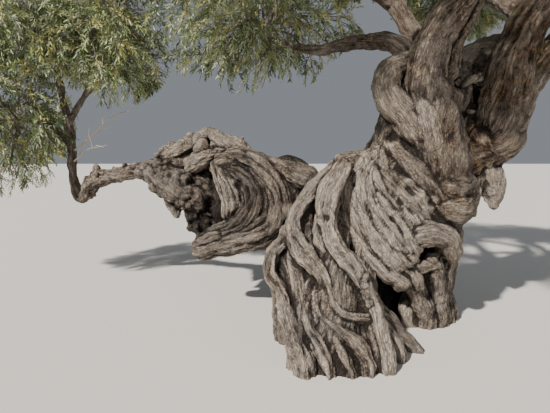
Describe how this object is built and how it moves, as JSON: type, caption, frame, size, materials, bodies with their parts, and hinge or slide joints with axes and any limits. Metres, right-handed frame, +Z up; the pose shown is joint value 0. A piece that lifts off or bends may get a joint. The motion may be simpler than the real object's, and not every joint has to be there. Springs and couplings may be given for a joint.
{
  "type": "olive tree",
  "caption": "Ancient olive tree with a twisted, fluted trunk on a wide root flare, a stem leaning far over to a hooked limb, thick boughs and an open crown of narrow grey-green leaves.",
  "frame": {"origin": "on the flat cut at ground level, under the buttress of the trunk", "axes": "+Z up; +X away from the leaning stem, so that it runs to -X; +Y to the back, away from the side with the buttress and the open foot"},
  "size_m": [7.8193, 5.6977, 6.1794],
  "materials": {
    "bark": "rough, deeply fissured",
    "dead_wood": "bare, weathered",
    "foliage": "leathery leaves, slightly glossy"
  },
  "bodies": {
    "root": {"trunk": "bark", "leaning_trunk": "bark", "left_limb": "bark", "left_bough": "bark", "right_bough": "bark", "right_side_bough": "bark", "right_front_bough": "bark", "right_back_bough": "bark", "back_left_bough": "bark", "back_bough": "bark", "far_left_bough": "bark", "front_bough": "bark", "front_left_bough": "bark", "upper_left_bough": "bark", "left_stem": "bark", "left_hanging_stem": "bark", "left_inner_stem": "bark", "dead_limb": "dead_wood", "foliage_top": "foliage", "foliage_upper_left": "foliage", "foliage_front": "foliage", "foliage_front_left": "foliage", "foliage_back_left": "foliage", "foliage_back": "foliage", "foliage_far_left": "foliage", "foliage_right": "foliage", "foliage_upper_right": "foliage", "foliage_right_front": "foliage", "foliage_right_back": "foliage", "foliage_left_high": "foliage", "foliage_left_low": "foliage", "foliage_left_inner": "foliage"}
  },
  "joints": []
}
